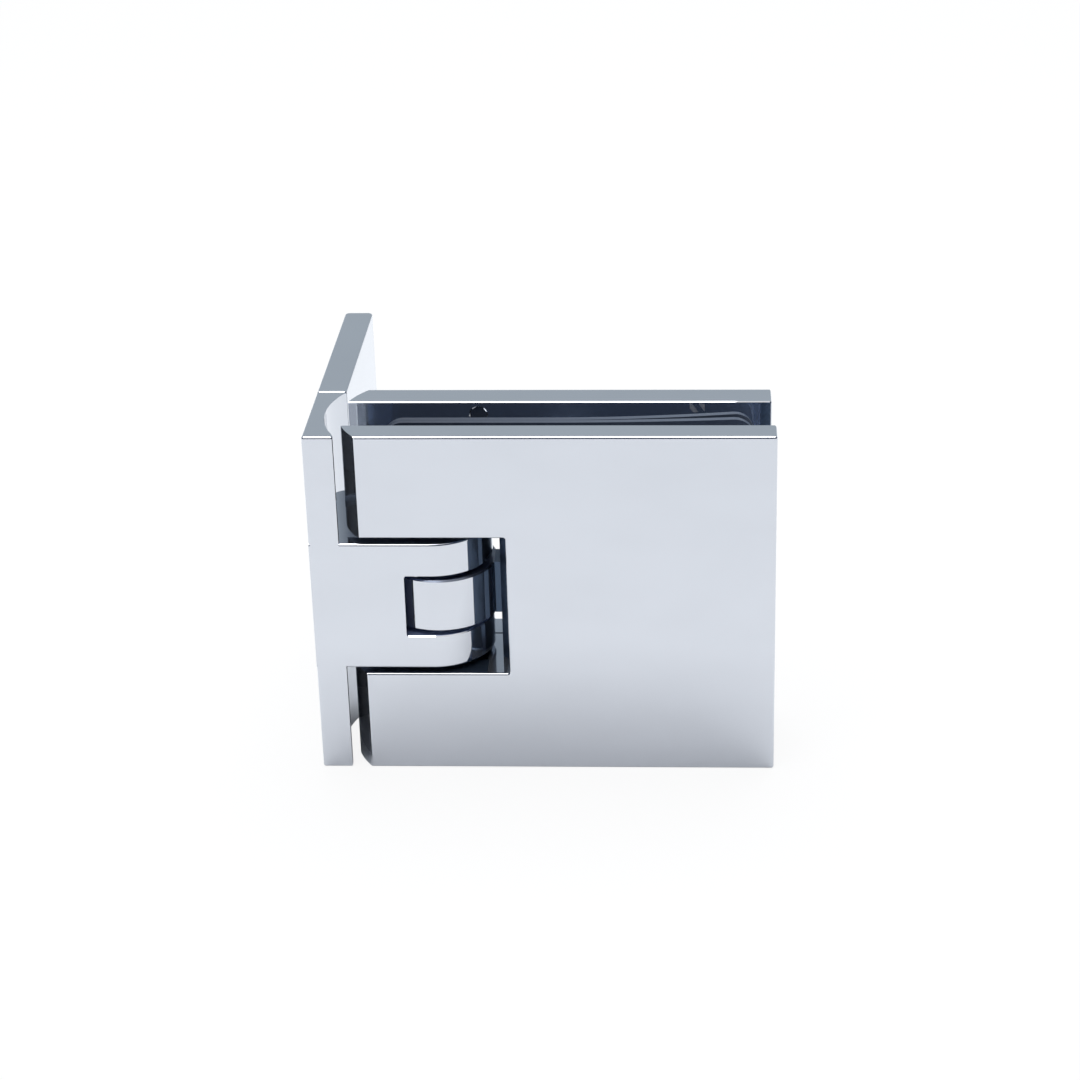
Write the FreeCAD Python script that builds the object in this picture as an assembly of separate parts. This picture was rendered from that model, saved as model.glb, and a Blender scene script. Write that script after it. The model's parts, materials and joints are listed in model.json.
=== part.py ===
"""Glass door hinge: a wall bracket with a knuckle fork, and a two-plate clamp for a glass door.

The origin is on the wall's surface, level with the middle of the hinge, in the plane of the pivot
axis, which is also the middle plane of the clamp. +X points away from the wall, along the closed
door. +Y points to the side that the long part of the wall plate covers. +Z is up and is the
direction of the pivot axis. All lengths are in millimetres.
"""
import FreeCAD, Part
import math
import os

os.makedirs("parts", exist_ok=True)
Vec = FreeCAD.Vector

# Overall sizes
height = 90.0                 # wall plate and clamp plates, top to bottom
edge_round = 0.6              # small rounding on the edges of the polished pieces
window_chamfer = 0.3          # round the opening of the fork
inner_chamfer = 0.25          # on the plates' edges along the glass and at their rounded ends
end_round = 1.2               # upright rear edges at the free ends of the plates and the cover
seam_chamfer = 0.35           # on both sides of the seam between block and cover
sit_gap = 0.1                 # clearance of loose pieces that lie in a recess
press_gap = 0.02              # clearance that stands for a tight seat inside one body

# Clamp plates and the space for the glass
plate_thickness = 7.0
back_plate_thickness = 7.8    # takes the screw heads
glass_space = 14.0            # between the inner faces of the two plates
clamp_reach = 83.0            # pivot axis to the free end of the clamp
back_plate_short = 0.8        # the back plate ends this much before the front plate
clamp_round = 21.7            # radius of the rounded ends beside the wall, about the pivot
notch_reach = 18.3            # pivot axis to the bottom of the notch in the plates
notch_play = 1.55             # between the knuckle arm and the notch, above and below

locating_hole_radius = 2.0    # shallow holes in the back plate's inner face
locating_hole_depth = 1.0
locating_hole_along = 11.1    # pivot axis to the locating holes
locating_hole_edge = 3.5      # from the plate's top and bottom
locating_hole_rim = 0.3       # chamfer

# Wall bracket
pivot_from_wall = 29.0
wall_thickness = 7.3          # wall plate, from the wall's surface to the inner face
wall_plate_length = 81.0      # along Y, from the clamp's front face to the far edge
swing_gap = 3.5               # between the clamp's rounded ends and the hollow behind them
seam_land = 0.4               # narrow flat between the hollow and the seam with the cover
arm_height = 33.7
window_height = 16.0          # opening of the fork, between its two lobes
pocket_play = 1.5             # between the barrel's radius and that of the fork's opening
flange_thickness = 4.0
cover_wall = 2.0
cover_play = 0.2              # between the flange and the inside of the cover
wall_hole_radius = 2.75
wall_sink_radius = 5.4        # countersinks of the wall screws
wall_hole_across = 26.0       # hole spacing along Y
wall_hole_edge = 15.0         # from the wall plate's top and bottom to the holes

# Pivot
pin_radius = 5.0
pin_recess = 0.5              # pin ends below the outer faces of the lobes
pin_chamfer = 0.5
detent_depth = 0.5            # flats on the pin, where the door holds
detent_height = 6.0
barrel_radius = 13.8
barrel_offset = 1.3           # the barrel's outline stands this much towards the clamp from the pin
barrel_height = 13.8
barrel_chamfer = 0.4
bush_wall = 1.25
bush_length = 4.0
running_gap = 0.05
washer_radius = 9.0
washer_thickness = 1.0
lock_screw_radius = 2.5
lock_screw_length = 6.0
lock_socket_size = 2.5        # across flats
lock_socket_depth = 2.2

# Pivot block between the plates
neck_thickness = 7.0
block_start = 16.2            # pivot axis to the near face of the block
block_end = 47.0              # pivot axis to the far face of the block
block_lip = 3.6               # the block reaches this far above and below the notch
block_corner = 1.7            # chamfer beside the knuckle, on the side of the front plate
block_lip_start = 12.5        # pivot axis to the lips above and below the knuckle
block_relief = 0.6            # between the block and the back plate
plunger_radius = 2.2
plunger_length = 13.0
plunger_tip = 1.2             # chamfer on the plunger's nose
spring_radius = 1.9
spring_wire = 0.35
spring_turns = 7
spring_wire_sides = 6         # the wire's section is drawn as a polygon
spring_length = 14.0
adjuster_radius = 2.5
adjuster_length = 6.0
adjuster_socket_size = 2.5
adjuster_socket_depth = 2.5

# Gaskets
gasket_thickness = 1.6
gasket_play = 0.5             # round the block, the notch and the screws
gasket_inset = 0.4            # below the top of the plates, and inside their bottom
gasket_start = 11.0           # pivot axis back to the gasket's end beside the wall
gasket_reach = 78.0           # pivot axis to the gasket's free end
gasket_corner = 5.0
gasket_lean = 2.35            # the loose gaskets lean back from the front plate, over their height
bow_start = 28.0              # pivot axis to where the gaskets start to bow away
front_bow = 2.3               # how far the front gasket has bowed away at its free end
rear_bow = 4.5

# Screws through the clamp
clamp_screw_along = 33.0      # pivot axis to the screws
clamp_screw_clear = 9.0       # from the block's top and bottom to the clamp screws
clamp_screw_radius = 3.0
clamp_head_radius = 5.6
clamp_socket_size = 4.0       # across flats
clamp_socket_depth = 2.4
thread_depth = 5.0            # screws reach this far into the front plate
sleeve_wall = 1.8
block_screw_along = 38.0
block_screw_edge = 7.0        # block screws, from the block's upper and lower ends
block_screw_radius = 2.5
block_head_radius = 4.2
block_head_height = 2.6
block_socket_size = 3.0
block_socket_depth = 1.8

# Worked out from the sizes above
half_height = height / 2
half_space = glass_space / 2
half_depth = half_space + plate_thickness
back_y = half_space + back_plate_thickness
wall_reach = wall_plate_length - half_depth
px = pivot_from_wall
hollow_radius = clamp_round + swing_gap
inner_from_pivot = pivot_from_wall - wall_thickness
seam_y = math.sqrt(hollow_radius**2 - inner_from_pivot**2) + seam_land
pocket_radius = barrel_radius + pocket_play
half_arm = arm_height / 2
half_window = window_height / 2
half_barrel = barrel_height / 2
half_notch = half_arm + notch_play
half_block = half_notch + block_lip
bore_radius = pin_radius + running_gap + bush_wall
half_gasket = half_height - gasket_inset
block_screw_head_y = half_space - block_relief - block_head_height


def box(x0, x1, y0, y1, z0, z1):
    """A block between two corners."""
    return Part.makeBox(x1 - x0, y1 - y0, z1 - z0, Vec(x0, y0, z0))


def rod_x(radius, x0, x1, y=0.0, z=0.0):
    return Part.makeCylinder(radius, x1 - x0, Vec(x0, y, z), Vec(1, 0, 0))


def rod_y(radius, y0, y1, x, z):
    return Part.makeCylinder(radius, y1 - y0, Vec(x, y0, z), Vec(0, 1, 0))


def rod_z(radius, z0, z1, x=px, y=0.0):
    return Part.makeCylinder(radius, z1 - z0, Vec(x, y, z0), Vec(0, 0, 1))


def cone(r0, r1, length, start, direction):
    return Part.makeCone(r0, r1, length, start, direction)


def ring_points(centre, side, other, radius, count):
    """Corners of a regular polygon, with the first one repeated at the end."""
    points = []
    for i in range(count + 1):
        angle = 2 * math.pi * i / count
        points.append(centre + side * (radius * math.cos(angle)) + other * (radius * math.sin(angle)))
    return points


def hexagon(across_flats, start, depth, direction):
    """A six-sided prism, used as a socket, from start along direction."""
    side = Vec(0, 0, 1)
    points = ring_points(start, side, direction.cross(side), across_flats / math.sqrt(3), 6)
    return Part.Face(Part.makePolygon(points)).extrude(direction * depth)


def fuse(shapes):
    joined = shapes[0].multiFuse(shapes[1:])
    return joined.removeSplitter()


def rounded(shape, radius, chosen):
    """Round the edges for which chosen(bound box) is true."""
    edges = [edge for edge in shape.Edges if chosen(edge.BoundBox)]
    return shape.makeFillet(radius, edges)


def chamfered(shape, size, chosen):
    """Chamfer the edges for which chosen(bound box) is true."""
    edges = [edge for edge in shape.Edges if chosen(edge.BoundBox)]
    return shape.makeChamfer(size, edges)


def save(name, shape):
    shape = shape.removeSplitter()
    if not shape.isValid():
        raise RuntimeError(f"{name} is not a valid solid")
    print(f"{name:20} solids {len(shape.Solids)}  volume {shape.Volume:10.1f} mm3")
    shape.exportStep(f"parts/{name}.step")


def flat_at(low, high, value):
    """True if an edge's extent lies at one value along an axis."""
    return abs(low - value) < 1e-4 and abs(high - value) < 1e-4


# Wall bracket: block, hollow, knuckle arm with its fork, and the flange under the cover

def fork():
    """Knuckle arm with a rounded end, split by the opening for the barrel."""
    straight = box(0, px, -half_depth, half_depth, -half_arm, half_arm)
    arm = straight.fuse(rod_z(half_depth, -half_arm, half_arm)).removeSplitter()
    arm = rounded(arm, edge_round, lambda b: b.ZLength < 1e-4 and b.XMax > px / 2)
    arm = arm.cut(rod_z(pocket_radius, -half_window, half_window))
    mouth_x = px - math.sqrt(pocket_radius**2 - half_depth**2)
    level = half_window + 1e-3
    return chamfered(arm, window_chamfer, lambda b: b.ZMin > -level and b.ZMax < level
                     and b.XMax > mouth_x - 1e-3 and max(abs(b.YMin), abs(b.YMax)) > half_depth - 1e-3)


def block_with_hollow():
    block = box(0, wall_thickness, -half_depth, seam_y, -half_height, half_height)
    block = rounded(block, edge_round, lambda b: not flat_at(b.YMin, b.YMax, seam_y)
                    and (b.ZLength < 1 or b.XMax < 1))
    block = chamfered(block, seam_chamfer, lambda b: flat_at(b.YMin, b.YMax, seam_y)
                      and not flat_at(b.XMin, b.XMax, 0))
    hollow = rod_z(hollow_radius, -half_height, half_height)
    return block.cut(hollow)


def wall_holes(face_x):
    """Countersunk holes through the flange; the countersinks open at face_x."""
    centre_y = (seam_y + wall_reach - cover_wall - cover_play) / 2
    sink_depth = wall_sink_radius - wall_hole_radius
    tools = []
    for side in (-1, 1):
        for level in (-1, 1):
            y = centre_y + side * wall_hole_across / 2
            z = level * (half_height - wall_hole_edge)
            tools.append(rod_x(wall_hole_radius, 0, face_x, y, z))
            tools.append(cone(wall_hole_radius, wall_sink_radius, sink_depth,
                              Vec(face_x - sink_depth, y, z), Vec(1, 0, 0)))
    return tools


def wall_bracket():
    flange_y = wall_reach - cover_wall - cover_play
    flange_z = half_height - cover_wall - cover_play
    flange = box(0, flange_thickness, seam_y - 1, flange_y, -flange_z, flange_z)
    body = fuse([block_with_hollow(), fork(), flange])
    cover_room = box(flange_thickness, wall_thickness + cover_play, seam_y, half_depth + 1,
                     -half_height, half_height)
    tools = [cover_room, rod_z(pin_radius + press_gap, -half_arm, half_arm)]
    for level in (-1, 1):
        z = level * (half_window + half_arm) / 2
        tools.append(rod_y(lock_screw_radius, pin_radius - 1, half_depth + 1, px, z))
    return body.cut(tools + wall_holes(flange_thickness))


def wall_cover():
    """Clip-on cover that hides the flange and its screws."""
    outer = box(0, wall_thickness, seam_y, wall_reach, -half_height, half_height)
    outer = rounded(outer, end_round, lambda b: b.ZLength > 1 and b.YMin > seam_y + 1)
    outer = rounded(outer, edge_round, lambda b: b.ZLength < 1e-4 and b.YMax > seam_y + 1)
    outer = chamfered(outer, seam_chamfer, lambda b: flat_at(b.YMin, b.YMax, seam_y)
                      and not flat_at(b.XMin, b.XMax, 0))
    room = box(0, flange_thickness, seam_y, wall_reach - cover_wall,
               -half_height + cover_wall, half_height - cover_wall)
    return outer.cut(room)


# Pivot pin and what turns about it

def pivot_pin():
    reach = half_arm - pin_recess
    pin = rod_z(pin_radius, -reach, reach)
    flat = pin_radius - detent_depth
    half_flat = detent_height / 2
    for turn in (-90, 0, 90):
        tool = box(px + flat, px + pin_radius + 1, -pin_radius, pin_radius, -half_flat, half_flat)
        tool.rotate(Vec(px, 0, 0), Vec(0, 0, 1), turn)
        pin = pin.cut(tool)
    return chamfered(pin, pin_chamfer, lambda b: flat_at(b.ZMin, b.ZMax, reach)
                     or flat_at(b.ZMin, b.ZMax, -reach))


def pin_lock_screw(level):
    z = level * (half_window + half_arm) / 2
    start = pin_radius + press_gap
    screw = rod_y(lock_screw_radius - press_gap, start, start + lock_screw_length, px, z)
    mouth = Vec(px, start + lock_screw_length, z)
    socket = hexagon(lock_socket_size, mouth, lock_socket_depth, Vec(0, -1, 0))
    return screw.cut(socket)


def thrust_washer(level):
    low = half_window - washer_thickness
    ring = rod_z(washer_radius, low, half_window)
    ring = ring.cut(rod_z(pin_radius + running_gap, low, half_window))
    if level < 0:
        ring = ring.mirror(Vec(0, 0, 0), Vec(0, 0, 1))
    return ring


def bush(level):
    low = half_barrel - bush_length
    ring = rod_z(bore_radius - press_gap, low, half_barrel)
    ring = ring.cut(rod_z(pin_radius + running_gap, low, half_barrel))
    if level < 0:
        ring = ring.mirror(Vec(0, 0, 0), Vec(0, 0, 1))
    return ring


def block_screw_place(level):
    return px + block_screw_along, level * (half_block - block_screw_edge)


def pivot_block():
    """Barrel, neck and the block between the plates, one piece."""
    barrel = rod_z(barrel_radius, -half_barrel, half_barrel, px + barrel_offset)
    barrel = chamfered(barrel, barrel_chamfer, lambda b: b.ZLength < 1e-4)
    neck = box(px + bore_radius, px + block_start + 1, -neck_thickness / 2, neck_thickness / 2,
               -half_barrel, half_barrel)
    back = half_space - block_relief
    block = box(px + block_lip_start, px + block_end, -half_space, back, -half_block, half_block)
    block = block.cut(box(px, px + block_start, -half_space, back, -half_notch, half_notch))
    block = rounded(block, edge_round, lambda b: b.YLength > 1 and b.ZMin * b.ZMax > 0
                    and max(abs(b.ZMin), abs(b.ZMax)) > half_block - 1e-3)
    block = chamfered(block, block_corner, lambda b: flat_at(b.XMin, b.XMax, px + block_start)
                      and flat_at(b.YMin, b.YMax, -half_space))
    body = fuse([barrel, neck, block])
    tools = [rod_z(bore_radius, -half_barrel, half_barrel)]
    plunger_end = px + pin_radius + running_gap + plunger_length
    tools.append(rod_x(plunger_radius + running_gap, px, plunger_end + spring_length))
    tools.append(rod_x(adjuster_radius + press_gap, plunger_end + spring_length, px + block_end))
    for x, z in map(block_screw_place, (-1, 1)):
        tools.append(rod_y(block_screw_radius + sit_gap, -half_space, back, x, z))
        tools.append(rod_y(block_head_radius + sit_gap, block_screw_head_y, back, x, z))
    return body.cut(tools)


def detent_plunger():
    """Round plunger with a chamfered nose, drawn pushed back just clear of the pin."""
    start = px + pin_radius + running_gap
    plunger = rod_x(plunger_radius, start, start + plunger_length)
    return chamfered(plunger, plunger_tip, lambda b: flat_at(b.XMin, b.XMax, start))


def detent_spring():
    start = px + pin_radius + running_gap + plunger_length + spring_wire
    length = spring_length - 2 * spring_wire
    coil_radius = spring_radius - spring_wire
    path = Part.makeHelix(length / spring_turns, length, coil_radius)
    section = Part.makePolygon(ring_points(Vec(coil_radius, 0, 0), Vec(1, 0, 0), Vec(0, 0, 1),
                                           spring_wire, spring_wire_sides))
    coil = Part.Wire(path).makePipeShell([section], True, True)
    coil.rotate(Vec(0, 0, 0), Vec(0, 1, 0), 90)
    coil.translate(Vec(start, 0, 0))
    return coil


def detent_adjuster():
    start = px + pin_radius + running_gap + plunger_length + spring_length
    screw = rod_x(adjuster_radius, start, start + adjuster_length)
    mouth = Vec(start + adjuster_length, 0, 0)
    return screw.cut(hexagon(adjuster_socket_size, mouth, adjuster_socket_depth, Vec(-1, 0, 0)))


# Clamp plates, gaskets and screws

def clamp_outline(y0, y1, reach):
    """A clamp plate between two depths: rounded beside the wall, notched for the knuckle."""
    plate = box(px - clamp_round, px + reach, y0, y1, -half_height, half_height)
    allowed = rod_z(clamp_round, -half_height, half_height).fuse(
        box(px, px + reach, y0, y1, -half_height, half_height))
    plate = plate.common(allowed)
    notch = box(0, px + notch_reach, y0, y1, -half_notch, half_notch)
    return plate.cut(notch).removeSplitter()


def soften(plate, inner_y):
    """Round a plate's outer edges, and chamfer its upper and lower edges along the glass."""
    end_x, rear_y = plate.BoundBox.XMax, plate.BoundBox.YMax
    plate = rounded(plate, edge_round, lambda b: not flat_at(b.YMin, b.YMax, inner_y)
                    and not (flat_at(b.XMin, b.XMax, end_x) and flat_at(b.YMin, b.YMax, rear_y))
                    and (b.YLength < 1 or b.XLength < 1))
    plate = chamfered(plate, inner_chamfer, lambda b: flat_at(b.YMin, b.YMax, inner_y)
                      and b.XLength > 1 and b.ZMax**2 > half_notch**2 + 1)
    x, y = end_x - end_round, rear_y - end_round
    corner = box(x, end_x + 1, y, rear_y + 1, -half_height, half_height)
    return plate.cut(corner.cut(rod_z(end_round, -half_height, half_height, x, y)))


def clamp_screw_place(level):
    return px + clamp_screw_along, level * (half_block + clamp_screw_clear)


def front_plate():
    plate = soften(clamp_outline(-half_depth, -half_space, clamp_reach), -half_space)
    tools = []
    for x, z in map(clamp_screw_place, (-1, 1)):
        tools.append(rod_y(clamp_screw_radius + press_gap, -half_space - thread_depth, -half_space, x, z))
    for x, z in map(block_screw_place, (-1, 1)):
        tools.append(rod_y(block_screw_radius + press_gap, -half_space - thread_depth, -half_space, x, z))
    return plate.cut(tools)


def back_plate():
    plate = soften(clamp_outline(half_space, back_y, clamp_reach - back_plate_short), half_space)
    tools = []
    sink = clamp_head_radius - clamp_screw_radius
    for x, z in map(clamp_screw_place, (-1, 1)):
        tools.append(rod_y(clamp_screw_radius + sit_gap, half_space, back_y, x, z))
        tools.append(cone(clamp_screw_radius + sit_gap, clamp_head_radius + sit_gap, sink,
                          Vec(x, back_y - sink, z), Vec(0, 1, 0)))
    for level in (-1, 1):
        z = level * (half_height - locating_hole_edge)
        x = px + locating_hole_along
        rim = locating_hole_radius + locating_hole_rim
        tools.append(rod_y(locating_hole_radius, half_space, half_space + locating_hole_depth, x, z))
        tools.append(cone(rim, locating_hole_radius, locating_hole_rim, Vec(x, half_space, z), Vec(0, 1, 0)))
    return plate.cut(tools)


def clamp_screw(level):
    x, z = clamp_screw_place(level)
    sink = clamp_head_radius - clamp_screw_radius
    shank = rod_y(clamp_screw_radius, -half_space - thread_depth + sit_gap, back_y - sink, x, z)
    head = cone(clamp_screw_radius, clamp_head_radius, sink, Vec(x, back_y - sink, z), Vec(0, 1, 0))
    socket = hexagon(clamp_socket_size, Vec(x, back_y, z), clamp_socket_depth, Vec(0, -1, 0))
    return shank.fuse(head).cut(socket)


def screw_sleeve(level):
    """Plastic sleeve that keeps the screw off the hole in the glass."""
    x, z = clamp_screw_place(level)
    inner = clamp_screw_radius + sit_gap
    outer = inner + sleeve_wall
    leaned = gasket_lean * (z + outer + half_gasket) / (2 * half_gasket)
    y0 = -half_space + 2 * (gasket_thickness + sit_gap) + leaned + bow_at(x + outer, rear_bow)
    tube = rod_y(outer, y0, half_space, x, z)
    return tube.cut(rod_y(inner, y0, half_space, x, z))


def block_screw(level):
    x, z = block_screw_place(level)
    shank = rod_y(block_screw_radius, -half_space - thread_depth + sit_gap, block_screw_head_y, x, z)
    top_y = block_screw_head_y + block_head_height - sit_gap
    head = rod_y(block_head_radius, block_screw_head_y, top_y, x, z)
    top = Vec(x, top_y, z)
    return shank.fuse(head).cut(hexagon(block_socket_size, top, block_socket_depth, Vec(0, -1, 0)))


def bow_radius(bow):
    """Radius of the arc that leaves the flat part level and stands bow away at the free end."""
    run = gasket_reach - bow_start
    return (run**2 + bow**2) / (2 * bow)


def bow_at(x, bow):
    """How far a gasket's front face stands away from its flat part at x."""
    run = max(0.0, x - px - bow_start)
    radius = bow_radius(bow)
    return radius - math.sqrt(radius**2 - run**2)


def gasket(first_y, bow):
    """A loose sheet: it leans back from the front plate and bows away towards its free end."""
    radius = bow_radius(bow)
    bend = px + bow_start
    left = px - gasket_start
    angle = math.asin((gasket_reach - bow_start) / radius)

    def on_arc(r, a):
        return Vec(bend + r * math.sin(a), first_y + radius - r * math.cos(a), 0)

    inner = radius - gasket_thickness
    a, b = Vec(left, first_y, 0), Vec(left, first_y + gasket_thickness, 0)
    edges = [Part.LineSegment(a, Vec(bend, first_y, 0)).toShape(),
             Part.Arc(Vec(bend, first_y, 0), on_arc(radius, angle / 2), on_arc(radius, angle)).toShape(),
             Part.LineSegment(on_arc(radius, angle), on_arc(inner, angle)).toShape(),
             Part.Arc(on_arc(inner, angle), on_arc(inner, angle / 2), on_arc(inner, 0)).toShape(),
             Part.LineSegment(on_arc(inner, 0), b).toShape(),
             Part.LineSegment(b, a).toShape()]
    face = Part.Face(Part.Wire(edges))
    face.translate(Vec(0, 0, -half_gasket))
    sheet = face.extrude(Vec(0, 0, 2 * half_gasket))
    corner = [e for e in sheet.Edges if e.BoundBox.XMin > px + gasket_reach - 1
              and e.BoundBox.ZLength < 1e-4 and e.Length < 2 * gasket_thickness]
    sheet = sheet.makeFillet(gasket_corner, corner)
    lean_angle = math.degrees(math.asin(gasket_lean / (2 * half_gasket)))
    sheet.rotate(Vec(0, -half_space, -half_gasket), Vec(1, 0, 0), -lean_angle)
    y0, y1 = -half_space, half_space
    room = half_block + gasket_play
    tools = [box(0, px + block_end + gasket_play, y0, y1, -room, room)]
    for x, z in map(clamp_screw_place, (-1, 1)):
        tools.append(rod_y(clamp_screw_radius + gasket_play, y0, y1, x, z))
    return sheet.cut(tools)


pieces = {
    "wall_bracket": wall_bracket(),
    "wall_cover": wall_cover(),
    "pivot_pin": pivot_pin(),
    "pivot_block": pivot_block(),
    "detent_plunger": detent_plunger(),
    "detent_spring": detent_spring(),
    "detent_adjuster": detent_adjuster(),
    "front_plate": front_plate(),
    "back_plate": back_plate(),
    "gasket_front": gasket(-half_space, front_bow),
    "gasket_rear": gasket(-half_space + gasket_thickness + sit_gap, rear_bow),
}
for level, side in ((1, "upper"), (-1, "lower")):
    pieces[f"pin_lock_screw_{side}"] = pin_lock_screw(level)
    pieces[f"thrust_washer_{side}"] = thrust_washer(level)
    pieces[f"bush_{side}"] = bush(level)
    pieces[f"clamp_screw_{side}"] = clamp_screw(level)
    pieces[f"screw_sleeve_{side}"] = screw_sleeve(level)
    pieces[f"block_screw_{side}"] = block_screw(level)

for name, shape in pieces.items():
    save(name, shape)
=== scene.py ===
# %% [markdown]
# A glass door hinge in polished chrome, dressed for its portrait.
# The pieces come from the construction model, already at their real size and place. This file gives
# them their finishes, remakes the ones that need a finer form, and sets a small studio round them.
# Each step is a cell: first a few words on what the piece is and why it is made this way, then its code.

# %% Load the construction model
import json
import math

import bmesh
import bpy
from mathutils import Matrix, Vector


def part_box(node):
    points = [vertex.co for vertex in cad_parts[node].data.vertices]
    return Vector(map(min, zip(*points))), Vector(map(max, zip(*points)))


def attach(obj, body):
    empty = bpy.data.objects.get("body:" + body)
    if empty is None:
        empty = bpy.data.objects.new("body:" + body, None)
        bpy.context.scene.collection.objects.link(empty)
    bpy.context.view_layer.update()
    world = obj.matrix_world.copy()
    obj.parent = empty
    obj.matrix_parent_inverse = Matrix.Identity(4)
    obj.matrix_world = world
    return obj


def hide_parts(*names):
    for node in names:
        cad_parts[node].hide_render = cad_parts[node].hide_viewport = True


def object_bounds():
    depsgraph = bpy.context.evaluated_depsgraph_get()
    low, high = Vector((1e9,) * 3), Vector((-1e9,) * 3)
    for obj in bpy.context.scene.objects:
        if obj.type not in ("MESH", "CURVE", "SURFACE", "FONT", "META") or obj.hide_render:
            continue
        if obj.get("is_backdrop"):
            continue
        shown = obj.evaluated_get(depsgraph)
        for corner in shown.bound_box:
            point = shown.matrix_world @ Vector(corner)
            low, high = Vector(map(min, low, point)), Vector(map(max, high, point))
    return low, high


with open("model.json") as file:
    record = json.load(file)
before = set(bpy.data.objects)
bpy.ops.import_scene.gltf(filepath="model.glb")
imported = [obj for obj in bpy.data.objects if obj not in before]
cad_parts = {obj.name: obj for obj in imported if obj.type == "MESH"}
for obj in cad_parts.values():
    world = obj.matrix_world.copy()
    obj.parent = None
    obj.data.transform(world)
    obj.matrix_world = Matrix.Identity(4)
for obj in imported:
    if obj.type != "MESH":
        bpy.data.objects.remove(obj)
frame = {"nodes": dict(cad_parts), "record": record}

model_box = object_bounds()
MM = 0.001

# %% [markdown]
# The camera stands where the photographer stood: in front, a little to the right of the clamp's
# middle and well above the hinge, looking down at it. A long lens keeps the uprights nearly parallel.
# The small lens shift is the photograph's own framing, with the hinge below the optical centre.

# %% Camera
PICTURE = 1080                      # pixels along each side of the photograph
FOCAL_PIXELS = 2471.083
CENTRE_PIXEL = (600.0, 395.0)       # where the lens axis meets the photograph
CAMERA_PLACE = Vector((93.278, -541.573, 281.309)) * MM
PITCH, YAW, ROLL = (math.radians(a) for a in (23.133, -2.456, -1.037))


def camera_axes():
    """Right, up and forward of a camera that looks along +Y, turned by yaw, tipped down and rolled."""
    forward = Vector((math.sin(YAW) * math.cos(PITCH), math.cos(YAW) * math.cos(PITCH), -math.sin(PITCH)))
    level = Vector((math.cos(YAW), -math.sin(YAW), 0))
    upright = level.cross(forward)
    right = level * math.cos(ROLL) + upright * math.sin(ROLL)
    up = upright * math.cos(ROLL) - level * math.sin(ROLL)
    return right, up, forward


lens = bpy.data.cameras.new("portrait_lens")
lens.sensor_width = 36
lens.lens = FOCAL_PIXELS * lens.sensor_width / PICTURE
lens.shift_x = (PICTURE / 2 - CENTRE_PIXEL[0]) / PICTURE
lens.shift_y = (CENTRE_PIXEL[1] - PICTURE / 2) / PICTURE
lens.clip_start, lens.clip_end = 0.01, 20
camera = bpy.data.objects.new("portrait_camera", lens)
right, up, forward = camera_axes()
turn = Matrix((right, up, -forward)).transposed().to_4x4()
camera.matrix_world = Matrix.Translation(CAMERA_PLACE) @ turn
bpy.context.scene.collection.objects.link(camera)
bpy.context.scene.camera = camera
bpy.context.scene.view_settings.view_transform = "Standard"
print(f"lens {lens.lens:.1f} mm, shift {lens.shift_x:.3f}, {lens.shift_y:.3f}")

# %% [markdown]
# A finish is a small tree of nodes. Each of them starts from the piece's own coordinates, in metres,
# so a pattern keeps its real size on every piece and doesn't slide when the door swings.
# The helpers below make the usual steps short: a noise of a given grain, a change of range, a bump.


# %% Helpers for finishes
def new_finish(name):
    """A material with its nodes, links and main shader."""
    material = bpy.data.materials.new(name)
    material.use_nodes = True
    nodes = material.node_tree.nodes
    return material, nodes, material.node_tree.links, nodes["Principled BSDF"]


def own_coordinates(nodes):
    return nodes.new("ShaderNodeTexCoord").outputs["Object"]


def give(links, value, socket):
    """Set a fixed number or colour on a socket, or link another node's output to it."""
    if isinstance(value, tuple):
        socket.default_value = (*value, 1)
    elif isinstance(value, (int, float)):
        socket.default_value = value
    else:
        links.new(value, socket)


def noise(nodes, links, place, grain_mm, detail=2.0, stretch=(1, 1, 1)):
    """Cloudy noise whose blots are about grain_mm wide; a stretch above 1 squeezes it on that axis."""
    mapping = nodes.new("ShaderNodeMapping")
    mapping.inputs["Scale"].default_value = stretch
    cloud = nodes.new("ShaderNodeTexNoise")
    cloud.inputs["Scale"].default_value = 1 / (grain_mm * MM)
    cloud.inputs["Detail"].default_value = detail
    links.new(place, mapping.inputs["Vector"])
    links.new(mapping.outputs["Vector"], cloud.inputs["Vector"])
    return cloud.outputs["Fac"]


def ranged(nodes, links, value, low, high, to_low, to_high):
    """Carry a value from one range to another, without going past its ends."""
    step = nodes.new("ShaderNodeMapRange")
    for socket, number in zip(("From Min", "From Max", "To Min", "To Max"), (low, high, to_low, to_high)):
        step.inputs[socket].default_value = number
    links.new(value, step.inputs["Value"])
    return step.outputs["Result"]


def blended(nodes, links, share, first, second):
    """From the first to the second by a share from 0 to 1: two colours or two numbers, fixed or linked."""
    colours = any(isinstance(v, tuple) or getattr(v, "type", "") == "RGBA" for v in (first, second))
    kind = "RGBA" if colours else "VALUE"
    mix = nodes.new("ShaderNodeMix")
    mix.data_type = "RGBA" if colours else "FLOAT"
    ends = [socket for socket in mix.inputs if socket.type == kind and socket.name in ("A", "B")]
    for value, socket in zip((first, second), ends):
        give(links, value, socket)
    links.new(share, mix.inputs["Factor"])
    return next(o for o in mix.outputs if o.type == kind)


def bumped(nodes, links, height, depth_mm, shader):
    bump = nodes.new("ShaderNodeBump")
    bump.inputs["Distance"].default_value = depth_mm * MM
    links.new(height, bump.inputs["Height"])
    links.new(bump.outputs["Normal"], shader.inputs["Normal"])


def dress(node, material):
    """Give a construction piece its finish."""
    slots = frame["nodes"][node].data.materials
    slots.clear()
    slots.append(material)


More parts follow.
